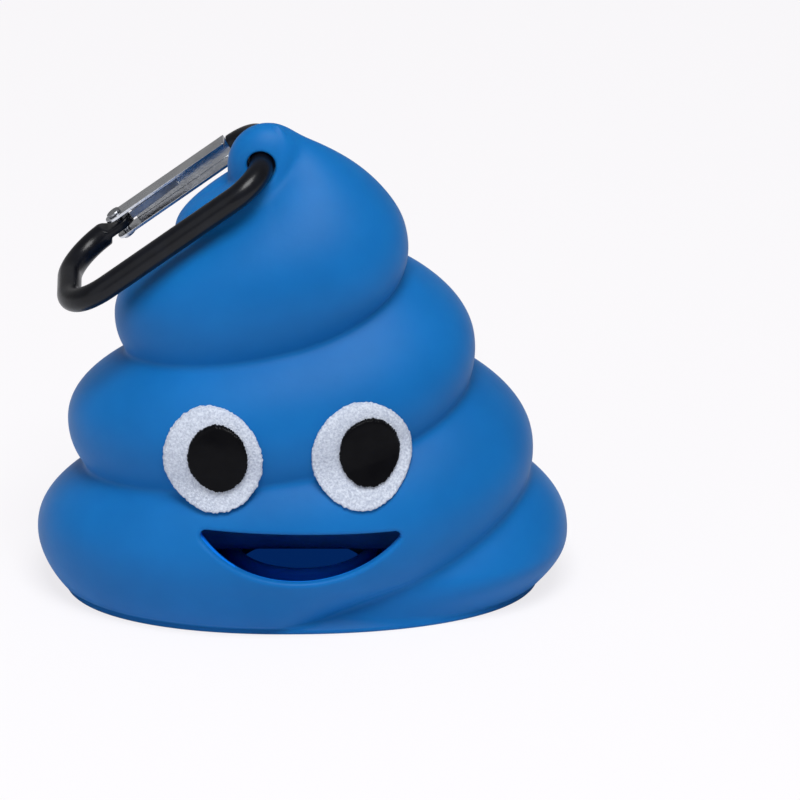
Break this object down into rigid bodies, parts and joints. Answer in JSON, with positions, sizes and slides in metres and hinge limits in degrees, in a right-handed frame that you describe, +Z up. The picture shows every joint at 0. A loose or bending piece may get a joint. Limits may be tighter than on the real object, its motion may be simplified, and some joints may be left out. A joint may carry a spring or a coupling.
{
  "type": "dog waste bag dispenser",
  "caption": "Soft swirl-shaped dispenser for dog waste bags, with a bag outlet in front, a refill opening below and a hinged wire clip through its tip",
  "frame": {"origin": "middle of the underside of the part's box", "axes": "+X to the right across the front, +Y from the front to the back, +Z up"},
  "size_m": [0.0874, 0.0538, 0.0821],
  "materials": {
    "body_rubber": "soft matte silicone, mid blue",
    "eye_flock": "short white flock",
    "pupil": "glossy black",
    "clip_paint": "satin black coat on steel wire",
    "gate_metal": "bright folded sheet",
    "rivet_steel": "plain steel",
    "core_plastic": "plain black tube",
    "bag_film": "thin wound film with a soft shine"
  },
  "bodies": {
    "body": {"shell": "body_rubber", "left_eye_white": "eye_flock", "right_eye_white": "eye_flock", "left_pupil": "pupil", "right_pupil": "pupil"},
    "clip": {"clip_body": "clip_paint", "gate_rivet": "rivet_steel"},
    "gate": {"clip_gate": "gate_metal", "gate_spring": "rivet_steel"},
    "roll": {"roll_core": "core_plastic", "bag_roll": "bag_film", "leading_bag": "bag_film"}
  },
  "joints": [
    {"name": "clip_swing", "type": "hinge", "parent": "body", "child": "clip", "pos_m": [-0.00664, -0.00087, 0.0763], "axis": [0, 1, 0], "range_deg": [0, 150]},
    {"name": "gate_open", "type": "hinge", "parent": "clip", "child": "gate", "pos_m": [-0.0298, 0.01163, 0.05885], "axis": [0.6018, 0, -0.7986], "range_deg": [0, 12], "stiffness_Nm_per_rad": 0.03, "springref_deg": -11.46},
    {"name": "roll_spin", "type": "hinge", "parent": "body", "child": "roll", "pos_m": [-0.00009, -0.00106, 0.0148], "axis": [1, 0, 0], "continuous": true}
  ]
}
